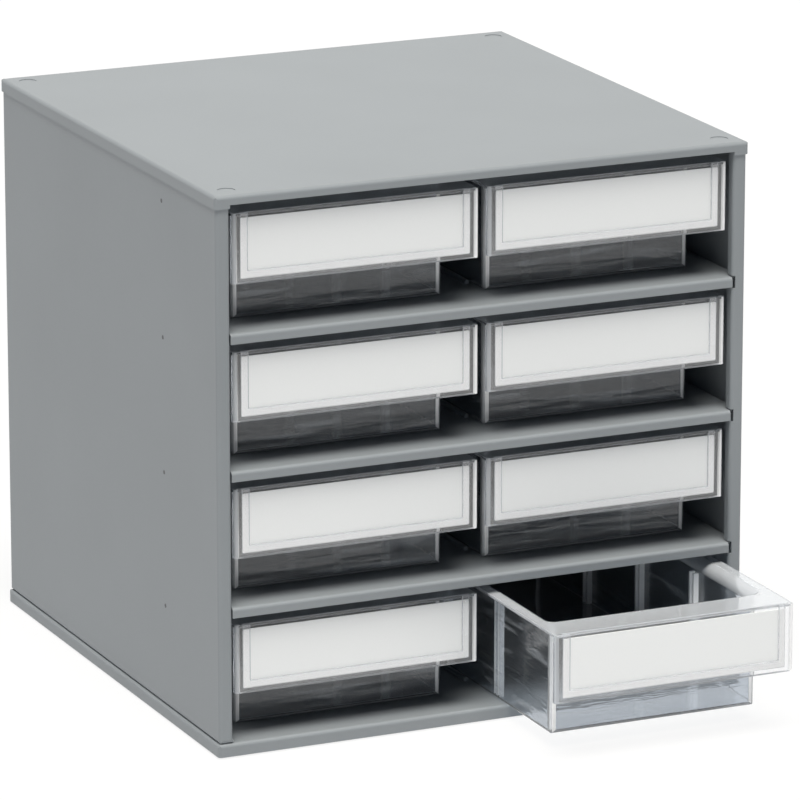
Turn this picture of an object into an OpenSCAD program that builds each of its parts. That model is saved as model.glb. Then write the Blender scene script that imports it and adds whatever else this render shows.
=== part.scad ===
// Parts bin cabinet: a folded sheet-steel case with three shelves and eight
// clear drawers that slide on them. The lower right drawer stands open.
// Millimetres. X runs across the front, Y from front to back, Z upwards.
// The origin lies midway between the four feet, in the plane they stand on.

/* [Case] */
// Overall width, over the top cover
case_w = 400; // [360:1:600]
// Overall depth, over the top cover
case_d = 400; // [300:1:600]
// Overall height, from the feet to the top
case_h = 395; // [380:1:520]
// Thickness of the steel sheet
sheet = 1; // [0.8:0.1:1.4]
// Outside radius of every folded edge
fold_r = 2.5; // [1.6:0.1:4]
// Height of the cover's turned-down edges
cover_edge = 9; // [7:0.5:14]
// Height of the cover's front edge between the posts
cover_front_edge = 6.5; // [4:0.5:6.5]
// Height of the base pan's turned-down edges
base_edge = 9.2; // [7:0.1:20]
// Width of the posts folded along each side panel
post_w = 10; // [6:0.5:14]
// Depth of the edge turned back along each front post
return_d = 7; // [4:0.5:20]
// Height of a shelf's turned-down edges
shelf_edge = 7.2; // [5:0.1:12]
// Gap between a shelf and the edge turned back along the left post
shelf_fit = 0.3; // [0.1:0.1:1]
// Gap between a shelf's front edge and the right post's face, in the post's notch
shelf_slit = 2.2; // [0.5:0.1:4]
// Clearance above and below a shelf's edge in the right post's notch
notch_clear = 0.8; // [0.3:0.1:2]

/* [Feet and stacking] */
// Diameter of a foot
foot_d = 11; // [8:0.5:13]
// How far a foot stands below the base pan
foot_proud = 1.2; // [0.8:0.1:4]
// Distance from the case's side to a foot's centre
foot_inset_x = 15; // [12:0.5:40]
// Distance from the case's front or rear to a foot's centre
foot_inset_y = 16; // [12:0.5:40]
// Depth of the stacking dimples in the cover
dimple_depth = 0.4; // [0.3:0.1:0.6]
// How much wider a dimple is than the foot that sits in it
dimple_clear = 1.5; // [0.5:0.1:3]

/* [Drawers] */
// How far the drawer fronts sit behind the case's front
front_recess = 5; // [0:0.5:8]
// Clearance behind a closed drawer
rear_clear = 2; // [1:0.5:10]
// Clearance at each side of a drawer's rim, within its column
side_clear = 3.5; // [1:0.5:8]
// Clearance between a drawer's rim and the shelf edge above it
head_clear = 6.8; // [2:0.1:12]
// Running gap under a drawer
run_gap = 0.2; // [0.1:0.05:0.6]
// How far the rim overhangs the tub at each side
rim_w = 12; // [11:0.5:18]
// How far the rim overhangs the tub at the rear
rim_rear = 12; // [11:0.5:20]
// Radius of the rim's upright corners
rim_corner_r = 2; // [0.5:0.1:3]
// Thickness of the tub's walls and of the rim
tub_wall = 2.2; // [1.5:0.1:3]
// Radius of the bend from the walls out into the rim
rim_bend_r = 8; // [5:0.5:10]
// Thickness of the tub's floor
tub_floor = 2.4; // [1.5:0.1:4]
// Radius of the tub's upright corners
tub_corner_r = 4.5; // [3.4:0.1:8]
// Radius of the tub's lower edges
tub_edge_r = 3; // [1:0.1:6]
// Depth of the hood, from the front plate's face to the tub's front wall
hood_d = 33; // [25:1:60]
// How far the lower right drawer stands open
open_by = 110; // [0:1:200]

/* [Front plate and label] */
// Height of the front plate
plate_h = 49; // [40:1:70]
// Thickness of the front plate
plate_t = 4.4; // [3.6:0.1:7]
// Width of the solid posts at the plate's ends
plate_post = 6; // [3:0.5:12]
// Height of the solid strip below the label
plate_sill = 3.4; // [2:0.1:8]
// Width of the lips that hold the label
lip_w = 5.5; // [2:0.5:12]
// Thickness of the lips that hold the label
lip_t = 1.4; // [0.8:0.1:1.6]
// Height of a label card
card_h = 42; // [30:0.5:44]
// Thickness of a label card
card_t = 0.8; // [0.3:0.1:1]
// Clearance around a label card, in its pocket
card_clear = 0.1; // [0.05:0.05:0.4]

/* [Divider slots] */
// Number of compartments that dividers can make in a drawer
bays = 4; // [2:1:8]
// Width of a divider slot
slot_w = 3; // [1.5:0.5:5]
// Width of the ribs at each side of a slot
slot_rib_w = 2.5; // [1.5:0.5:4]
// How far the ribs stand out from the wall
slot_rib_d = 4; // [1:0.5:5]
// How far the ribs stop short of the rim's bend
slot_rib_drop = 1; // [0.5:0.5:20]

/* [Stops and guides] */
// Distance from the case's front to the stop pins
stop_y = 97; // [70:1:160]
// Diameter of a stop pin
pin_d = 3; // [2:0.5:5]
// Clearance around a pin in the side panel's hole
pin_clear = 0.1; // [0.05:0.05:0.3]
// Diameter of a pin's collar
collar_d = 7; // [6:0.5:12]
// Thickness of a pin's collar
collar_t = 1.5; // [1:0.1:3]
// Height of the rim's underside above a pin's axis
stop_drop = 7.6; // [4:0.1:9]
// How far a pin reaches across a drawer's stop lug
stop_overlap = 5; // [2:0.5:8]
// Thickness of a stop lug, from front to rear
lug_t = 8; // [4:0.5:16]
// Height of a stop lug, below the rim
lug_h = 12; // [10:0.5:30]
// How far a stop lug sits inside the rim's edge
lug_inset = 1; // [0.5:0.5:3]
// Width of a guide rib on a shelf
guide_w = 3; // [2:0.5:5]
// Height of a guide rib on a shelf
guide_h = 3; // [1.5:0.5:6]
// Clearance between a guide rib and the tub
guide_clear = 0.8; // [0.4:0.1:2]
// Distance from the case's front to the guide ribs
guide_start = 60; // [45:1:150]

/* [Hidden] */
$fn = 48;

rows = 4;
left = -1;
right = 1;
cut = 1;                                      // overrun of a cut past a face

case_grey = [0.60, 0.62, 0.63];
cover_grey = [0.68, 0.69, 0.68];
clear_plastic = [0.80, 0.84, 0.88, 0.45];
card_white = [0.90, 0.90, 0.90];
pin_steel = [0.35, 0.36, 0.37];
foot_rubber = [0.12, 0.12, 0.12];

// Planes of the case
front_y = -case_d / 2;                        // face of the cover's front edge
post_y = front_y + sheet;                     // face of the posts
side_x = case_w / 2 - sheet;                  // outer face of a side panel
inner_x = side_x - sheet;                     // inner face of a side panel
open_x = side_x - post_w;                     // edge of a post, half the opening
panel_y = case_d / 2 - 2 * sheet;             // rear face of the back panel
inner_y = panel_y - sheet;                    // front face of the back panel
floor_z = foot_proud + base_edge;             // top of the base pan
ceiling_z = case_h - sheet;                   // underside of the cover
pitch = (case_h - floor_z) / rows;            // from one shelf to the next
foot_x = case_w / 2 - foot_inset_x;
foot_y = case_d / 2 - foot_inset_y;

// The drawer, as its own width, length and height
column_x = open_x / 2;
bin_w = open_x - 2 * side_clear;
bin_l = inner_y - rear_clear - front_y - front_recess;
bin_h = pitch - shelf_edge - head_clear - run_gap;
tub_w = bin_w - 2 * rim_w;
tub_l = bin_l - hood_d - rim_rear;
inner_w = tub_w - 2 * tub_wall;
inner_l = tub_l - 2 * tub_wall;
inner_corner_r = tub_corner_r - tub_wall;
wall_top = bin_h - rim_bend_r;                // where the walls start to bend outwards
rim_under = bin_h - tub_wall;
plate_z = bin_h - plate_h;
pocket_w = bin_w - 2 * plate_post;
pocket_t = card_t + 2 * card_clear;
card_z = plate_z + plate_sill;
pin_tip = column_x + bin_w / 2 - lug_inset - stop_overlap;

// Top of the surface that a row's drawers stand on; row 1 is the top row
function shelf_z(row) = floor_z + (rows - row) * pitch;

// Height of a row's stop pins
function pin_z(row) = shelf_z(row) + run_gap + rim_under - stop_drop;

// A rectangle on the X axis whose two upper corners are round
module top_rounded(w, h, r) {
    translate([-w / 2, 0]) square([w, h - r]);
    translate([-w / 2 + r, 0]) square([w - 2 * r, h]);
    for (s = [-1, 1])
        translate([s * (w / 2 - r), h - r]) circle(r);
}

// A rectangle about the origin whose four corners are round
module round_rect(w, d, r) {
    square([w - 2 * r, d], center = true);
    square([w, d - 2 * r], center = true);
    for (sx = [-1, 1], sy = [-1, 1])
        translate([sx * (w / 2 - r), sy * (d / 2 - r)]) circle(r);
}

// A block that stands on the XY plane, with its upper edges rounded by edge_r
// and its upright edges by corner_r
module rounded_block(w, d, h, edge_r, corner_r) {
    intersection() {
        linear_extrude(h) round_rect(w, d, corner_r);
        translate([0, d / 2, 0]) rotate([90, 0, 0]) linear_extrude(d) top_rounded(w, h, edge_r);
        translate([-w / 2, 0, 0]) rotate([90, 0, 90]) linear_extrude(w) top_rounded(d, h, edge_r);
    }
}

// A sheet folded down along all four sides, open below
module pan(w, d, h) {
    difference() {
        rounded_block(w, d, h, fold_r, fold_r);
        translate([0, 0, -sheet])
            rounded_block(w - 2 * sheet, d - 2 * sheet, h, fold_r - sheet, fold_r - sheet);
    }
}

// Repeats its children at the four feet
module at_feet() {
    for (sx = [-1, 1], sy = [-1, 1])
        translate([sx * foot_x, sy * foot_y, 0]) children();
}

// The four low ribs that keep a row's two tubs in their lanes, on z = 0
module guide_ribs() {
    reach = tub_w / 2 + guide_clear + guide_w / 2;
    for (column = [left, right], side = [-1, 1])
        translate([column * column_x + side * reach, inner_y - rear_clear, -sheet / 2])
            rotate([90, 0, 0])
                linear_extrude(inner_y - rear_clear - front_y - guide_start)
                    top_rounded(guide_w, guide_h + sheet / 2, guide_w / 3);
}

module top_cover() {
    color(cover_grey) difference() {
        translate([0, 0, case_h - cover_edge]) pan(case_w, case_d, cover_edge);
        translate([-open_x, front_y - cut, case_h - cover_edge - cut])
            cube([2 * open_x, cut + 2 * sheet, cut + cover_edge - cover_front_edge]);
        translate([0, 0, case_h - dimple_depth])
            at_feet() cylinder(d = foot_d + dimple_clear, h = dimple_depth + cut);
    }
}

module base_pan() {
    color(case_grey) {
        translate([0, 0, foot_proud]) pan(case_w, case_d, base_edge);
        translate([0, 0, floor_z]) guide_ribs();
    }
}

// The section of the bend and the turned-back edge of a front post
module return_section(side) {
    translate([side * (open_x + fold_r), post_y + fold_r]) intersection() {
        difference() {
            circle(fold_r);
            circle(fold_r - sheet);
        }
        translate([-side * fold_r / 2, -fold_r / 2]) square(fold_r, center = true);
    }
    translate([side * (open_x + sheet / 2), post_y + (return_d + fold_r) / 2])
        square([sheet, return_d - fold_r], center = true);
    translate([side * (open_x + fold_r + sheet / 4), post_y + sheet / 2])
        square([sheet / 2, sheet], center = true);
}

// A side panel with its four edges folded inwards; side is left or right. The
// edge of its front post is turned back; the right post is notched at the shelves.
module side_panel(side) {
    color(case_grey) {
        difference() {
            translate([side * open_x, 0, (floor_z + ceiling_z) / 2])
                rotate([0, side * 90, 0])
                    pan(ceiling_z - floor_z, case_d - 2 * sheet, post_w);
            translate([side * open_x, post_y, (floor_z + ceiling_z) / 2])
                cube([2 * fold_r, 3 * sheet, ceiling_z - floor_z - 2 * fold_r], center = true);
            for (row = [1 : rows])
                translate([side * (side_x + cut), front_y + stop_y, pin_z(row)])
                    rotate([0, -side * 90, 0])
                        cylinder(d = pin_d + 2 * pin_clear, h = sheet + 2 * cut);
        }
        if (side == left)
            translate([0, 0, floor_z + fold_r])
                linear_extrude(ceiling_z - floor_z - 2 * fold_r) return_section(side);
        else for (row = [1 : rows]) {
            low = row == rows ? floor_z + fold_r : shelf_z(row) + notch_clear;
            high = row == 1 ? ceiling_z - fold_r : shelf_z(row - 1) - shelf_edge - notch_clear;
            translate([0, 0, low]) linear_extrude(high - low) return_section(side);
        }
    }
}

// The rear sheet, notched round the folds of the side panels
module back_panel() {
    clear_w = 2 * (inner_x - fold_r + sheet);
    color(case_grey) translate([0, inner_y, 0]) {
        translate([-clear_w / 2, 0, floor_z + fold_r])
            cube([clear_w, sheet, ceiling_z - floor_z - 2 * fold_r]);
        translate([-open_x, 0, floor_z])
            cube([2 * open_x, sheet, ceiling_z - floor_z]);
    }
}

// The shelf that carries one row of drawers. It is notched round the left post;
// its edge ends within the notch of the right post.
module shelf(row) {
    shelf_d = inner_y - post_y;
    left_end = open_x - shelf_fit;
    right_end = open_x + fold_r - shelf_slit;
    color(case_grey) translate([0, 0, shelf_z(row)]) {
        difference() {
            translate([0, (inner_y + post_y) / 2, -shelf_edge]) pan(2 * inner_x, shelf_d, shelf_edge);
            translate([-left_end - 2 * post_w, post_y - cut, -shelf_edge - cut])
                cube([2 * post_w, cut + return_d + shelf_fit, shelf_edge + 2 * cut]);
            translate([right_end, post_y - cut, -shelf_edge - cut])
                cube([2 * post_w, cut + fold_r, shelf_edge + 2 * cut]);
        }
        guide_ribs();
    }
}

// The pins through one side panel that stop its column of drawers
module stop_pins(side) {
    color(pin_steel) for (row = [1 : rows])
        translate([side * side_x, front_y + stop_y, pin_z(row)]) rotate([0, -side * 90, 0]) {
            cylinder(d = pin_d, h = side_x - pin_tip);
            translate([0, 0, sheet]) cylinder(d = collar_d, h = collar_t);
        }
}

module feet() {
    color(foot_rubber) at_feet() cylinder(d = foot_d, h = floor_z - sheet);
}

// The section of the bend that leads from a wall, at x = 0, up and out into the rim
module bend_section() {
    intersection() {
        translate([rim_bend_r, 0]) difference() {
            circle(rim_bend_r);
            circle(rim_bend_r - tub_wall);
        }
        square(rim_bend_r);
    }
}

// The bend all round the top of the walls, about the tub's middle
module bend() {
    straight_w = inner_w - 2 * inner_corner_r;
    straight_l = inner_l - 2 * inner_corner_r;
    for (turn = [0, 180]) rotate([0, 0, turn]) {
        translate([inner_w / 2, straight_l / 2, 0])
            rotate([90, 0, 0]) linear_extrude(straight_l) bend_section();
        rotate([0, 0, 90]) translate([inner_l / 2, straight_w / 2, 0])
            rotate([90, 0, 0]) linear_extrude(straight_w) bend_section();
        translate([straight_w / 2, straight_l / 2, 0])
            rotate_extrude(angle = 90) translate([inner_corner_r, 0]) bend_section();
        translate([-straight_w / 2, straight_l / 2, 0])
            rotate([0, 0, 90]) rotate_extrude(angle = 90) translate([inner_corner_r, 0]) bend_section();
    }
}

// The pairs of ribs along both walls that hold a divider between them
module slot_ribs() {
    rib_h = wall_top - slot_rib_drop - tub_floor / 2;
    for (bay = [1 : bays - 1], end = [-1, 1], side = [-1, 1])
        translate([side * (inner_w / 2 + tub_wall / 4 - slot_rib_d / 2),
                   (bay / bays - 1 / 2) * inner_l + end * (slot_w + slot_rib_w) / 2,
                   tub_floor / 2 + rib_h / 2])
            cube([slot_rib_d + tub_wall / 2, slot_rib_w, rib_h], center = true);
}

// The drawer's tub. In the drawer's own frame the front plate's face is y = 0,
// the underside is z = 0 and x = 0 is the middle.
module tub() {
    translate([0, hood_d + tub_l / 2, 0]) {
        difference() {
            translate([0, 0, wall_top]) mirror([0, 0, 1])
                rounded_block(tub_w, tub_l, wall_top, tub_edge_r, tub_corner_r);
            translate([0, 0, tub_floor]) linear_extrude(bin_h)
                round_rect(inner_w, inner_l, inner_corner_r);
        }
        translate([0, 0, wall_top]) bend();
        slot_ribs();
    }
}

// The plan of the whole drawer, from the front plate to the rear of the rim
module plan() {
    translate([0, bin_l / 2]) round_rect(bin_w, bin_l, rim_corner_r);
}

// The flat rim around the tub's mouth, which runs forward as the hood's top
module rim() {
    mouth_w = inner_w + 2 * rim_bend_r;
    mouth_l = inner_l + 2 * rim_bend_r;
    translate([0, 0, rim_under]) linear_extrude(tub_wall) difference() {
        plan();
        translate([0, hood_d + tub_l / 2]) round_rect(mouth_w, mouth_l, inner_corner_r + rim_bend_r);
    }
}

// The front plate, with an open-topped pocket behind lips for the label
module front_plate() {
    window_w = pocket_w - 2 * lip_w;
    difference() {
        translate([0, 0, plate_z]) linear_extrude(plate_h) intersection() {
            plan();
            translate([-bin_w / 2, 0]) square([bin_w, plate_t]);
        }
        pocket_cut();
        translate([-window_w / 2, -cut, card_z + lip_w])
            cube([window_w, cut + lip_t + pocket_t / 2, plate_h]);
    }
}

// The space that the label card drops into
module pocket_cut() {
    translate([-pocket_w / 2, lip_t, card_z]) cube([pocket_w, pocket_t, plate_h]);
    translate([-pocket_w / 2 + lip_w, -cut, card_z + card_h])
        cube([pocket_w - 2 * lip_w, cut + lip_t + pocket_t, plate_h]);
}

// The lugs beside the rear of the tub, under its rim, that meet the stop pins
module stop_lugs() {
    lug_w = rim_w - lug_inset + tub_wall / 2;
    for (side = [-1, 1])
        translate([side * (tub_w - tub_wall + lug_w) / 2, bin_l - rim_rear - tub_corner_r - lug_t / 2,
                   rim_under - lug_h / 2 + tub_wall / 4])
            cube([lug_w, lug_t, lug_h + tub_wall / 2], center = true);
}

module drawer_shape() {
    tub();
    difference() {
        rim();
        pocket_cut();
    }
    front_plate();
    stop_lugs();
}

module card_shape() {
    translate([-pocket_w / 2 + card_clear, lip_t + card_clear, card_z])
        cube([pocket_w - 2 * card_clear, card_t, card_h]);
}

// Puts a drawer's piece in its column and row
module in_bay(column, row, pulled) {
    translate([column * column_x, front_y + front_recess - pulled, shelf_z(row) + run_gap]) children();
}

module drawer(column, row, pulled = 0) {
    color(clear_plastic) in_bay(column, row, pulled) drawer_shape();
}

module card(column, row, pulled = 0) {
    color(card_white) in_bay(column, row, pulled) card_shape();
}

top_cover();
base_pan();
side_panel(left);  // left_side
side_panel(right);  // right_side
back_panel();
shelf(1);  // upper_shelf
shelf(2);  // middle_shelf
shelf(3);  // lower_shelf
stop_pins(left);  // left_stop_pins
stop_pins(right);  // right_stop_pins
feet();
drawer(left, 1);  // drawer_left_1
drawer(left, 2);  // drawer_left_2
drawer(left, 3);  // drawer_left_3
drawer(left, 4);  // drawer_left_4
drawer(right, 1);  // drawer_right_1
drawer(right, 2);  // drawer_right_2
drawer(right, 3);  // drawer_right_3
drawer(right, 4, open_by);  // drawer_right_4
card(left, 1);  // card_left_1
card(left, 2);  // card_left_2
card(left, 3);  // card_left_3
card(left, 4);  // card_left_4
card(right, 1);  // card_right_1
card(right, 2);  // card_right_2
card(right, 3);  // card_right_3
card(right, 4, open_by);  // card_right_4
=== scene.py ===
"""Finishes the parts bin cabinet: powder-coated case, clear drawers, label cards and a plain stage."""

import math

import bmesh
import bpy
from bpy.props import FloatProperty, FloatVectorProperty, IntProperty, PointerProperty
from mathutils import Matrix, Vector


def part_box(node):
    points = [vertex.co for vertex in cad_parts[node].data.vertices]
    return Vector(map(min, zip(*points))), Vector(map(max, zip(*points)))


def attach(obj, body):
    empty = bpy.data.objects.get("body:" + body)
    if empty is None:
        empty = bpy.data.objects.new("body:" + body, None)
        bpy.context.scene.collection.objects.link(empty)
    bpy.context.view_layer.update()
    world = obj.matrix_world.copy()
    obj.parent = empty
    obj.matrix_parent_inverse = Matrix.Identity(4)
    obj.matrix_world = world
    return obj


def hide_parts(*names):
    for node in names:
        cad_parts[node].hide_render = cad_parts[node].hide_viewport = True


bl_info = {
    "name": "Parts Bin Cabinet",
    "version": (1, 0, 0),
    "blender": (4, 5, 0),
    "location": "View3D > Sidebar > Cabinet",
    "description": "Finishes a steel parts cabinet with clear drawers and label cards",
    "category": "Object",
}

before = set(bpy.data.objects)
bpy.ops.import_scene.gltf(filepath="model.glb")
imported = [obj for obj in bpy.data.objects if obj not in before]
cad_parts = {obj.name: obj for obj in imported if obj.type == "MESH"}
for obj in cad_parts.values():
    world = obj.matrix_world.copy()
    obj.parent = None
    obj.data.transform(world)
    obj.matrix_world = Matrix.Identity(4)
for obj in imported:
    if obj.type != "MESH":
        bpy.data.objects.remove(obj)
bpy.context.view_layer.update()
MM = 0.001
ACROSS = Vector((1, 0, 0))
UP = Vector((0, 0, 1))
WHITE = (1, 1, 1, 1)
SENSOR_W = 36    # width of the camera's sensor, in millimetres as the lens is

CASE_SHEETS = (
    "top_cover", "base_pan", "left_side", "right_side", "back_panel",
    "upper_shelf", "middle_shelf", "lower_shelf",
)
STOP_PINS = ("left_stop_pins", "right_stop_pins")
BAYS = [f"{side}_{row}" for side in ("left", "right") for row in (1, 2, 3, 4)]

# The finishes of a drawer and of a card, in the order of their material slots
WALL, RIM, EDGE, PLATE, RIB = range(5)
MARGIN, FIELD = range(2)

# The moulding's own sizes, by which its faces get their finish
WALL_T = 2.2 * MM         # thickness of the walls, the rim and the hood's top
BEND_R = 8 * MM           # radius of the bend from the walls into the rim
PLATE_T = 4.4 * MM        # thickness of the front plate
TUB_OVERHANG = 12 * MM    # from the tub's side to the rim's edge
RIB_D = 4 * MM            # how far a divider rib stands out
PLATE_END = 2.6 * MM      # width of the hazy strip at each end of the front plate

# How the moulding's corners, edges and faces are told apart
WELD = 0.002 * MM                  # corners that are nearer than this are joined
FLAT_ANGLE = math.radians(0.5)     # faces that meet at less than this are joined
SHARP_ANGLE = math.radians(40)     # edges with more than this are rounded
CREASE_ANGLE = math.radians(50)    # edges with more than this are shaded sharp
UPRIGHT = 0.3                      # an upright face's normal rises or falls by less than this
STRAIGHT = 0.985                   # a straight face's normal has at least this much along one axis
TINY = 0.05 * MM                   # slack in comparing two places

# The clear plastic's flow lines, which lie level
FLOW_SCALE = 14                         # cycles a metre along a line
FLOW_STRETCH = (1, 1, 10)               # ten times as many upwards
FLOW_DEPTH = 1.0 * MM
STREAK_START, STREAK_FULL = 0.58, 0.66  # where in the flow's noise a streak starts and is full
SURFACE_CLARITY = 0.96                  # share of the straight light that one surface lets through


class CaseFinish(bpy.types.PropertyGroup):
    """Powder coat of the steel sheets."""

    colour: FloatVectorProperty(
        name="Colour", description="Colour of the powder coat", subtype="COLOR",
        size=3, min=0, max=1, default=(0.248, 0.270, 0.288),
    )
    roughness: FloatProperty(
        name="Roughness", description="Roughness of the powder coat", default=0.42, min=0, max=1,
    )
    peel_size: FloatProperty(
        name="Orange peel", description="Width of the dimples in the coat", default=1.1 * MM,
        subtype="DISTANCE", unit="LENGTH",
    )


class DrawerFinish(bpy.types.PropertyGroup):
    """Clear moulded drawers."""

    tint: FloatVectorProperty(
        name="Tint", description="Tint of the walls", subtype="COLOR",
        size=3, min=0, max=1, default=(0.735, 0.770, 0.810),
    )
    plate_tint: FloatVectorProperty(
        name="Plate tint", description="Tint of the thin front plate and the ribs", subtype="COLOR",
        size=3, min=0, max=1, default=(0.965, 0.972, 0.985),
    )
    rim_tint: FloatVectorProperty(
        name="Rim tint", description="Tint of the rim and the hood's top", subtype="COLOR",
        size=3, min=0, max=1, default=(0.770, 0.795, 0.825),
    )
    # The edges' tint is darker than the walls': painted shade for the dark lines that the edges show against
    # a light ground.
    edge_shade_tint: FloatVectorProperty(
        name="Edge tint", description="Tint of the edges, which look darker against a light ground",
        subtype="COLOR", size=3, min=0, max=1, default=(0.620, 0.650, 0.690),
    )
    wall_haze: FloatProperty(
        name="Wall haze", description="Share of light that a wall scatters", default=0.04, min=0, max=1,
    )
    streak: FloatProperty(
        name="Streak", description="Further share of light that the walls' flow streaks scatter",
        default=0.15, min=0, max=1,
    )
    rim_haze: FloatProperty(
        name="Rim haze", description="Share of light that the rim scatters", default=0.33, min=0, max=1,
    )
    edge_haze: FloatProperty(
        name="Edge haze", description="Share of light that the edges scatter", default=0.55, min=0, max=1,
    )
    plate_haze: FloatProperty(
        name="Plate haze", description="Share of light that the front plate scatters", default=0.08,
        min=0, max=1,
    )
    rib_haze: FloatProperty(
        name="Rib haze", description="Share of light that the divider ribs scatter",
        default=0.80, min=0, max=1,
    )
    rib_ior: FloatProperty(
        name="Rib gleam", description="Index of refraction of the ribs, for the light that gleams in them",
        default=2.1, min=1, max=3,
    )
    edge_radius: FloatProperty(
        name="Edge radius", description="Rounding of the moulded edges", default=0.45 * MM,
        subtype="DISTANCE", unit="LENGTH",
    )
    edge_segments: IntProperty(
        name="Edge segments", description="Facets across a rounded edge", default=2, min=1, max=6,
    )


class CardFinish(bpy.types.PropertyGroup):
    """White label cards."""

    colour: FloatVectorProperty(
        name="Colour", description="Colour of the card's writing field", subtype="COLOR",
        size=3, min=0, max=1, default=(0.850, 0.868, 0.880),
    )
    # The margin is lighter than the writing field: painted sheen, standing in for the light that the clear
    # lips over it reflect.
    lip_sheen_colour: FloatVectorProperty(
        name="Margin colour", description="Colour of the margin under the lips", subtype="COLOR",
        size=3, min=0, max=1, default=(0.900, 0.900, 0.900),
    )
    margin: FloatProperty(
        name="Margin", description="Width of the margin under the lips", default=5.4 * MM,
        subtype="DISTANCE", unit="LENGTH",
    )
    corner_radius: FloatProperty(
        name="Corner radius", description="Rounding of the card's corners", default=1.2 * MM,
        subtype="DISTANCE", unit="LENGTH",
    )
    corner_segments: IntProperty(
        name="Corner segments", description="Facets across a rounded corner", default=4, min=1, max=12,
    )


class StageSettings(bpy.types.PropertyGroup):
    """Floor, light and camera."""

    floor_radius: FloatProperty(
        name="Floor radius", description="Radius of the round floor", default=14,
        subtype="DISTANCE", unit="LENGTH",
    )
    floor_colour: FloatVectorProperty(
        name="Floor colour", description="Colour of the floor", subtype="COLOR",
        size=3, min=0, max=1, default=(0.80, 0.80, 0.80),
    )
    floor_bounce: FloatVectorProperty(
        name="Floor bounce", description="Colour of the floor in the light that it throws back",
        subtype="COLOR", size=3, min=0, max=1, default=(0.75, 0.76, 0.78),
    )
    floor_white: FloatProperty(
        name="Floor white", description="Share of plain white in the floor, to the eye and in reflections",
        default=0.85, min=0, max=1,
    )
    floor_white_through: FloatProperty(
        name="Floor white through plastic",
        description="Share of plain white in the floor where it is seen through clear plastic",
        default=0.45, min=0, max=1,
    )
    azimuth: FloatProperty(
        name="Azimuth", description="Camera's turn round the cabinet, from the front",
        default=math.radians(-24.33), subtype="ANGLE",
    )
    elevation: FloatProperty(
        name="Elevation", description="Camera's angle above the horizon",
        default=math.radians(15.43), subtype="ANGLE",
    )
    distance: FloatProperty(
        name="Distance", description="From the camera to its target", default=4.518,
        subtype="DISTANCE", unit="LENGTH",
    )
    target: FloatVectorProperty(
        name="Target", description="Point that the camera looks at", subtype="TRANSLATION",
        size=3, default=(0.0032, -0.050, 0.1942),
    )
    lens: FloatProperty(
        name="Lens", description=f"Focal length on a {SENSOR_W} mm sensor", default=287.3,
    )
    key_strength: FloatProperty(
        name="Key strength", description="Strength of the soft overhead light", default=4.4, min=0,
    )
    key_angle: FloatProperty(
        name="Key angle", description="Width of the soft light, seen from the cabinet",
        default=math.radians(32), subtype="ANGLE",
    )
    key_from: FloatVectorProperty(
        name="Key direction", description="Direction that the light comes from", subtype="DIRECTION",
        size=3, default=(-0.115, -0.25, 0.96),
    )
    key_colour: FloatVectorProperty(
        name="Key colour", description="Colour of the overhead light", subtype="COLOR",
        size=3, min=0, max=1, default=(1.0, 0.968, 0.908),
    )
    world_light: FloatVectorProperty(
        name="World light", description="Colour of the light from all round", subtype="COLOR",
        size=3, min=0, max=1, default=(0.074, 0.085, 0.099),
    )


# Materials

class Nodes:
    """A new node material and short ways to add to it."""

    def __init__(self, name):
        self.material = bpy.data.materials.get(name) or bpy.data.materials.new(name)
        self.material.use_nodes = True
        self.tree = self.material.node_tree
        self.tree.nodes.clear()

    def add(self, kind, **inputs):
        """A node of this kind; each keyword sets the input of that name, or links a socket to it."""
        node = self.tree.nodes.new(kind)
        for name, value in inputs.items():
            self.feed(node.inputs[name.replace("_", " ")], value)
        return node

    def feed(self, socket, value):
        """Links the value to the socket if it is a socket too, and otherwise sets it there."""
        if isinstance(value, bpy.types.NodeSocket):
            self.tree.links.new(value, socket)
        else:
            socket.default_value = value

    def maths(self, operation, a, b):
        """The operation's result for a and b."""
        node = self.tree.nodes.new("ShaderNodeMath")
        node.operation = operation
        self.feed(node.inputs[0], a)
        self.feed(node.inputs[1], b)
        return node.outputs["Value"]

    def mix(self, factor, a, b):
        """The shader a, or b where factor is 1."""
        node = self.add("ShaderNodeMixShader", Fac=factor)
        self.feed(node.inputs[1], a)
        self.feed(node.inputs[2], b)
        return node.outputs["Shader"]

    def noise(self, scale, detail=3, roughness=0.5, stretch=None):
        """Noise on the object's own coordinates, at this many cycles a metre."""
        where = self.add("ShaderNodeTexCoord").outputs["Object"]
        if stretch:
            where = self.add("ShaderNodeMapping", Vector=where, Scale=stretch).outputs["Vector"]
        return self.add(
            "ShaderNodeTexNoise", Vector=where, Scale=scale, Detail=detail, Roughness=roughness
        ).outputs["Fac"]

    def ramp(self, factor, low, high, start=0.3, end=0.7):
        """A value or colour that runs from low to high as factor runs from start to end."""
        if isinstance(low, (int, float)):
            node = self.add("ShaderNodeMapRange", Value=factor)
            node.inputs["From Min"].default_value = start
            node.inputs["From Max"].default_value = end
            node.inputs["To Min"].default_value = low
            node.inputs["To Max"].default_value = high
            return node.outputs["Result"]
        node = self.add("ShaderNodeValToRGB", Fac=factor)
        for element, place, colour in zip(node.color_ramp.elements, (start, end), (low, high)):
            element.position = place
            element.color = (*colour, 1)
        return node.outputs["Color"]

    def mottle(self, factor, colour, spread):
        """The colour, from darker to lighter by this share as factor rises."""
        return self.ramp(factor, shade(colour, 1 - spread), shade(colour, 1 + spread))

    def bump(self, height, strength, distance):
        """The normal of a surface that rises and falls with height."""
        node = self.add("ShaderNodeBump", Height=height, Strength=strength, Distance=distance)
        return node.outputs["Normal"]

    def finish(self, shader):
        """The material, with this shader as its surface."""
        self.feed(self.add("ShaderNodeOutputMaterial").inputs["Surface"], shader)
        return self.material


def shade(colour, factor):
    """The colour, lighter or darker by this factor."""
    return tuple(min(1.0, c * factor) for c in colour)


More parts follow.
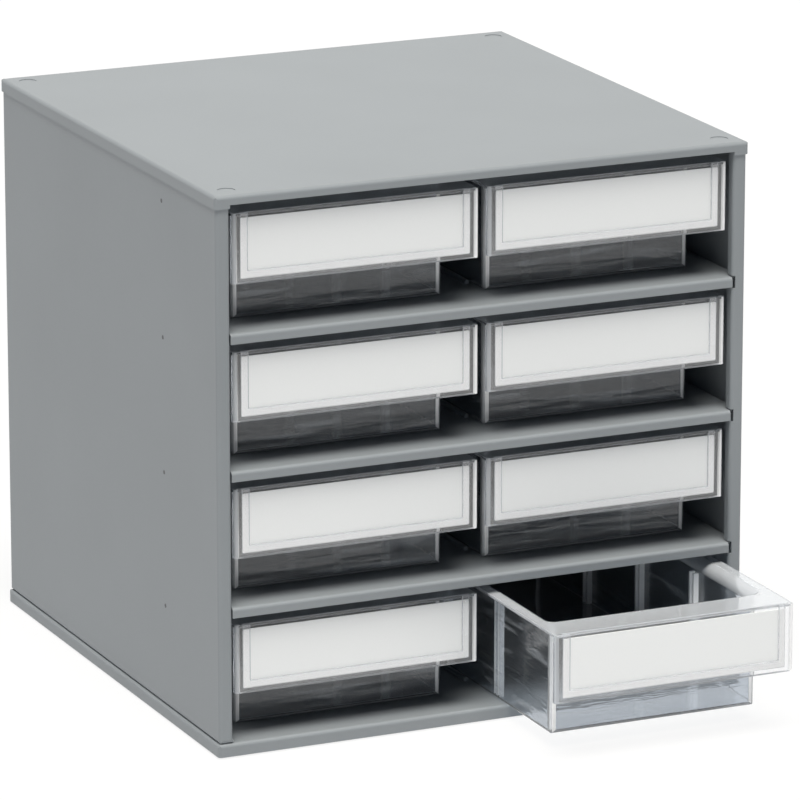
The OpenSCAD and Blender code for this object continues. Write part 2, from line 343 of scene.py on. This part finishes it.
def powder_coat(settings):
    """Satin grey powder coat, with a fine orange peel and faint clouding."""
    nodes = Nodes("powder_coat")
    peel = nodes.noise(scale=1 / settings.peel_size, detail=2)
    clouds = nodes.noise(scale=9, detail=4)
    speckle = nodes.noise(scale=2600, detail=1)
    colour = nodes.mottle(clouds, settings.colour, spread=0.025)
    rough = nodes.ramp(speckle, low=settings.roughness - 0.04, high=settings.roughness + 0.05)
    normal = nodes.bump(peel, strength=0.25, distance=0.05 * MM)
    principled = nodes.add(
        "ShaderNodeBsdfPrincipled", Base_Color=colour, Roughness=rough, Normal=normal
    )
    principled.inputs["Specular IOR Level"].default_value = 0.45
    return nodes.finish(principled.outputs["BSDF"])


def clear_plastic(name, tint, haze, roughness, waves=0.7, streak=0, ior=1.5):
    """Clear moulded plastic with faint flow lines. Light falls straight through it, tinted.

    Waves set how much its surface bends what is seen through it; streaks scatter this much
    more of the light than the rest.
    """
    nodes = Nodes(name)
    flow = nodes.noise(FLOW_SCALE, stretch=FLOW_STRETCH)
    normal = nodes.bump(flow, waves, FLOW_DEPTH)
    principled = nodes.add(
        "ShaderNodeBsdfPrincipled", Base_Color=(*tint, 1), Roughness=roughness, IOR=ior, Normal=normal
    )
    clearness = 1 - haze
    if streak:
        clearness = nodes.ramp(flow, clearness, clearness - streak, STREAK_START, STREAK_FULL)
    nodes.feed(principled.inputs["Transmission Weight"], clearness)

    # A wall has two surfaces, so each one takes the root of the tint
    clear = tuple(SURFACE_CLARITY * math.sqrt(c) for c in tint)
    through = nodes.add("ShaderNodeBsdfTransparent", Color=(*clear, 1))
    rays = nodes.add("ShaderNodeLightPath")
    shader = nodes.mix(rays.outputs["Is Diffuse Ray"], principled.outputs["BSDF"], through.outputs["BSDF"])
    return nodes.finish(nodes.mix(rays.outputs["Is Shadow Ray"], shader, through.outputs["BSDF"]))


def card_stock(name, colour):
    """Smooth white card with a faint fibre."""
    nodes = Nodes(name)
    fibre = nodes.noise(scale=1500, detail=4, roughness=0.7)
    tone = nodes.mottle(fibre, colour, spread=0.015)
    normal = nodes.bump(fibre, strength=0.15, distance=0.03 * MM)
    principled = nodes.add("ShaderNodeBsdfPrincipled", Base_Color=tone, Roughness=0.6, Normal=normal)
    principled.inputs["Specular IOR Level"].default_value = 0.3
    return nodes.finish(principled.outputs["BSDF"])


def dull_steel():
    """Plain turned steel, a little dark."""
    nodes = Nodes("dull_steel")
    grain = nodes.noise(scale=1800)
    rough = nodes.ramp(grain, low=0.35, high=0.5)
    principled = nodes.add(
        "ShaderNodeBsdfPrincipled", Base_Color=(0.10, 0.10, 0.105, 1), Metallic=0.9, Roughness=rough
    )
    return nodes.finish(principled.outputs["BSDF"])


def foot_rubber():
    """Black moulded rubber with a fine grain."""
    nodes = Nodes("foot_rubber")
    grain = nodes.noise(scale=1400)
    tone = nodes.ramp(grain, low=(0.018, 0.018, 0.019), high=(0.030, 0.030, 0.031))
    normal = nodes.bump(grain, strength=0.3, distance=0.06 * MM)
    principled = nodes.add("ShaderNodeBsdfPrincipled", Base_Color=tone, Roughness=0.75, Normal=normal)
    return nodes.finish(principled.outputs["BSDF"])


def pale_floor(settings):
    """A floor that is white to the eye and in reflections, and keeps soft shadows."""
    nodes = Nodes("pale_floor")
    rays = nodes.add("ShaderNodeLightPath")
    tone = nodes.ramp(
        rays.outputs["Is Diffuse Ray"], settings.floor_colour, settings.floor_bounce, start=0, end=1
    )
    diffuse = nodes.add("ShaderNodeBsdfDiffuse", Color=tone)
    glow = nodes.add("ShaderNodeEmission", Color=WHITE, Strength=1)
    seen = nodes.maths("MAXIMUM", rays.outputs["Is Camera Ray"], rays.outputs["Is Glossy Ray"])
    open_share = nodes.maths("MULTIPLY", seen, settings.floor_white)
    through_share = nodes.maths(
        "MULTIPLY", rays.outputs["Is Transmission Ray"], settings.floor_white_through
    )
    share = nodes.maths("MAXIMUM", open_share, through_share)
    return nodes.finish(nodes.mix(share, diffuse.outputs["BSDF"], glow.outputs["Emission"]))


# Mesh helpers

def set_material(node, material):
    """Gives a CAD node this material."""
    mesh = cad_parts[node].data
    mesh.materials.clear()
    mesh.materials.append(material)


def link_piece(name, bm, materials):
    """Makes a piece of this mesh, with its origin at the frame's origin."""
    mesh = bpy.data.meshes.new(name)
    bm.to_mesh(mesh)
    bm.free()
    for material in materials:
        mesh.materials.append(material)
    piece = bpy.data.objects.new(name, mesh)
    bpy.context.scene.collection.objects.link(piece)
    return piece


def merged_copy(node):
    """The CAD node's mesh as one closed surface, with its flat faces joined."""
    bm = bmesh.new()
    bm.from_mesh(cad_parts[node].data)
    bmesh.ops.remove_doubles(bm, verts=bm.verts, dist=WELD)
    bmesh.ops.dissolve_limit(bm, angle_limit=FLAT_ANGLE, verts=bm.verts, edges=bm.edges)
    bm.normal_update()
    return bm


def round_edges(bm, radius, segments):
    """Rounds the sharp edges, shades the rest smooth and gives back the new faces."""
    sharp = [e for e in bm.edges if e.is_manifold and e.calc_face_angle(0) > SHARP_ANGLE]
    made = bmesh.ops.bevel(
        bm, geom=sharp, affect="EDGES", offset=radius, offset_type="OFFSET",
        segments=segments, profile=0.5, material=-1, clamp_overlap=False,
    )
    for face in bm.faces:
        face.smooth = True
    for edge in bm.edges:
        edge.smooth = not edge.is_manifold or edge.calc_face_angle(0) < CREASE_ANGLE
    return made["faces"]


def weigh_normals(piece):
    """Keeps the flat faces flat beside their rounded edges, by letting the large faces lead."""
    modifier = piece.modifiers.new("flat_faces", "WEIGHTED_NORMAL")
    modifier.keep_sharp = True
    modifier.weight = 100


# Operators

class CABINET_OT_finish_case(bpy.types.Operator):
    """Give the steel sheets, pins and feet their finishes"""

    bl_idname = "cabinet.finish_case"
    bl_label = "Finish Case"

    def execute(self, context):
        coat = powder_coat(context.scene.case_finish)
        for node in CASE_SHEETS:
            set_material(node, coat)
        steel = dull_steel()
        for node in STOP_PINS:
            set_material(node, steel)
        set_material("feet", foot_rubber())
        return {"FINISHED"}


class CABINET_OT_make_drawers(bpy.types.Operator):
    """Make the clear drawers, with moulded edges"""

    bl_idname = "cabinet.make_drawers"
    bl_label = "Make Drawers"

    def execute(self, context):
        settings = context.scene.drawer_finish
        plastics = self.plastics(settings)
        for bay in BAYS:
            node = f"drawer_{bay}"
            low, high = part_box(node)
            bm = merged_copy(node)
            self.mark_plate_ends(bm, low, high)
            self.choose_finish(bm, low, high)
            for face in round_edges(bm, settings.edge_radius, settings.edge_segments):
                # rounded faces take the edge finish, whose darker tint is painted shade
                if face.material_index != RIB:
                    face.material_index = EDGE
            piece = link_piece(f"clear_{node}", bm, plastics)
            weigh_normals(piece)
            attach(piece, f"bin_{bay}")
            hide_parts(node)
        return {"FINISHED"}

    def plastics(self, settings):
        """The drawer's five finishes, in the order of its material slots."""
        return [
            clear_plastic(
                "clear_wall", settings.tint, settings.wall_haze, roughness=0.03, streak=settings.streak
            ),
            clear_plastic("clear_rim", settings.rim_tint, settings.rim_haze, roughness=0.08),
            # the edge finish's darker tint is painted shade
            clear_plastic("clear_edge_painted_shade", settings.edge_shade_tint, settings.edge_haze, roughness=0.16, waves=0.15),
            clear_plastic("clear_plate", settings.plate_tint, settings.plate_haze, roughness=0.05, waves=0.1),
            clear_plastic(
                "clear_rib", settings.plate_tint, settings.rib_haze, roughness=0.20, ior=settings.rib_ior
            ),
        ]

    def mark_plate_ends(self, bm, low, high):
        """Cuts the front plate's faces along the strips at its two ends."""
        for x in (low.x + PLATE_END, high.x - PLATE_END):
            faces = [f for f in bm.faces if f.calc_center_median().y < low.y + PLATE_T + TINY]
            edges = {e for f in faces for e in f.edges}
            verts = {v for f in faces for v in f.verts}
            bmesh.ops.bisect_plane(
                bm, geom=[*verts, *edges, *faces], plane_co=Vector((x, 0, 0)), plane_no=ACROSS
            )

    def choose_finish(self, bm, low, high):
        """Gives the walls, the rim and its edges, the front plate and the ribs their own finish.

        The plate's ends are hazy, and the right one gets the ribs' bright finish as a painted highlight.
        """
        middle = (low.x + high.x) / 2
        half_width = (high.x - low.x) / 2
        plate_back = low.y + PLATE_T + TINY
        rim_under = high.z - WALL_T
        bend_under = high.z - BEND_R
        wall_inside = half_width - TUB_OVERHANG - WALL_T
        for face in bm.faces:
            centre = face.calc_center_median()
            off_middle = abs(centre.x - middle)
            upright = abs(face.normal.z) < UPRIGHT
            curved = max(abs(c) for c in face.normal) < STRAIGHT
            if centre.y < plate_back and not (centre.z > rim_under and upright):
                if not upright or off_middle < half_width - PLATE_END:
                    face.material_index = PLATE
                else:
                    # the right end's bright rib finish is a painted highlight; the left end keeps the edge
                    # finish
                    face.material_index = RIB if centre.x > middle else EDGE
            elif centre.z > rim_under and upright:
                face.material_index = EDGE
            elif wall_inside - RIB_D - TINY < off_middle < wall_inside - TINY and upright:
                face.material_index = RIB
            elif centre.z > bend_under or curved:
                face.material_index = RIM
            else:
                face.material_index = WALL


class CABINET_OT_make_cards(bpy.types.Operator):
    """Make the label cards"""

    bl_idname = "cabinet.make_cards"
    bl_label = "Make Cards"

    def execute(self, context):
        settings = context.scene.card_finish
        stocks = [
            # the margin's lighter stock is the painted lip sheen
            card_stock("card_margin_lip_sheen", settings.lip_sheen_colour),
            card_stock("card_field", settings.colour),
        ]
        for bay in BAYS:
            node = f"card_{bay}"
            piece = link_piece(f"label_{node}", self.card(node, settings), stocks)
            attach(piece, f"bin_{bay}")
            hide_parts(node)
        return {"FINISHED"}

    def card(self, node, settings):
        """A card with round corners, whose margin and writing field have a material each; the margin's is
        lighter, as painted sheen of the clear lips over it.
        """
        low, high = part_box(node)
        bm = bmesh.new()
        bmesh.ops.create_cube(bm, size=1)
        bmesh.ops.scale(bm, vec=high - low, verts=bm.verts)
        bmesh.ops.translate(bm, vec=(low + high) / 2, verts=bm.verts)
        half_thickness = (high.y - low.y) / 2
        corners = [e for e in bm.edges if abs(e.verts[0].co.y - e.verts[1].co.y) > half_thickness]
        bmesh.ops.bevel(
            bm, geom=corners, affect="EDGES", offset=settings.corner_radius,
            segments=settings.corner_segments, profile=0.5, material=-1,
        )
        left, right = low.x + settings.margin, high.x - settings.margin
        bottom = low.z + settings.margin
        cuts = (
            (Vector((left, 0, 0)), ACROSS),
            (Vector((right, 0, 0)), ACROSS),
            (Vector((0, 0, bottom)), UP),
        )
        for point, normal in cuts:
            geom = [*bm.verts, *bm.edges, *bm.faces]
            bmesh.ops.bisect_plane(bm, geom=geom, plane_co=point, plane_no=normal)
        for face in bm.faces:
            centre = face.calc_center_median()
            inside = left < centre.x < right and centre.z > bottom
            face.material_index = FIELD if inside else MARGIN
        return bm


class CABINET_OT_make_stage(bpy.types.Operator):
    """Make the floor, the world, the light and the camera"""

    bl_idname = "cabinet.make_stage"
    bl_label = "Make Stage"

    def execute(self, context):
        settings = context.scene.stage_settings
        self.make_floor(settings)
        self.make_world(context.scene, settings)
        self.make_key(context.scene, settings)
        self.make_camera(context.scene, settings)
        context.scene.view_settings.view_transform = "Standard"
        return {"FINISHED"}

    def make_floor(self, settings):
        """A round floor at the height of the feet's undersides."""
        bm = bmesh.new()
        bmesh.ops.create_circle(bm, cap_ends=True, segments=96, radius=settings.floor_radius)
        floor = link_piece("floor", bm, [pale_floor(settings)])

    def make_world(self, scene, settings):
        """White to the camera and in reflections; softer as a light."""
        scene.world = scene.world or bpy.data.worlds.new("studio")
        scene.world.use_nodes = True
        tree = scene.world.node_tree
        tree.nodes.clear()
        rays = tree.nodes.new("ShaderNodeLightPath")
        softer = tree.nodes.new("ShaderNodeValToRGB")
        softer.color_ramp.elements[0].color = WHITE
        softer.color_ramp.elements[1].color = (*settings.world_light, 1)
        background = tree.nodes.new("ShaderNodeBackground")
        output = tree.nodes.new("ShaderNodeOutputWorld")
        tree.links.new(rays.outputs["Is Diffuse Ray"], softer.inputs["Fac"])
        tree.links.new(softer.outputs["Color"], background.inputs["Color"])
        tree.links.new(background.outputs["Background"], output.inputs["Surface"])

    def make_key(self, scene, settings):
        """One broad soft light from above, and a little from the left and the front."""
        data = bpy.data.lights.new("key_light", "SUN")
        data.energy = settings.key_strength
        data.angle = settings.key_angle
        data.color = settings.key_colour
        lamp = bpy.data.objects.new("key_light", data)
        lamp.rotation_euler = Vector(settings.key_from).to_track_quat("Z", "Y").to_euler()
        scene.collection.objects.link(lamp)

    def make_camera(self, scene, settings):
        """A camera at its angle and distance from the target, looking at it."""
        data = bpy.data.cameras.new("camera")
        data.lens = settings.lens
        data.sensor_width = SENSOR_W
        camera = bpy.data.objects.new("camera", data)
        turn, rise = settings.azimuth, settings.elevation
        back = Vector((
            math.sin(turn) * math.cos(rise), -math.cos(turn) * math.cos(rise), math.sin(rise)
        ))
        camera.location = Vector(settings.target) + back * settings.distance
        camera.rotation_euler = back.to_track_quat("Z", "Y").to_euler()
        scene.collection.objects.link(camera)
        scene.camera = camera


class CABINET_PT_panel(bpy.types.Panel):
    """Lists the cabinet's steps in the sidebar"""

    bl_idname = "CABINET_PT_panel"
    bl_label = "Parts Bin Cabinet"
    bl_space_type = "VIEW_3D"
    bl_region_type = "UI"
    bl_category = "Cabinet"

    def draw(self, context):
        for operator in OPERATORS:
            self.layout.operator(operator.bl_idname)


SETTINGS = {
    "case_finish": CaseFinish,
    "drawer_finish": DrawerFinish,
    "card_finish": CardFinish,
    "stage_settings": StageSettings,
}
OPERATORS = (
    CABINET_OT_finish_case, CABINET_OT_make_drawers, CABINET_OT_make_cards, CABINET_OT_make_stage,
)


def register():
    for name, group in SETTINGS.items():
        bpy.utils.register_class(group)
        setattr(bpy.types.Scene, name, PointerProperty(type=group))
    for cls in (*OPERATORS, CABINET_PT_panel):
        bpy.utils.register_class(cls)


def unregister():
    for cls in (CABINET_PT_panel, *reversed(OPERATORS)):
        bpy.utils.unregister_class(cls)
    for name, group in reversed(SETTINGS.items()):
        delattr(bpy.types.Scene, name)
        bpy.utils.unregister_class(group)


def main():
    register()
    bpy.ops.cabinet.finish_case()
    bpy.ops.cabinet.make_drawers()
    bpy.ops.cabinet.make_cards()
    bpy.ops.cabinet.make_stage()


if __name__ == "__main__":
    main()
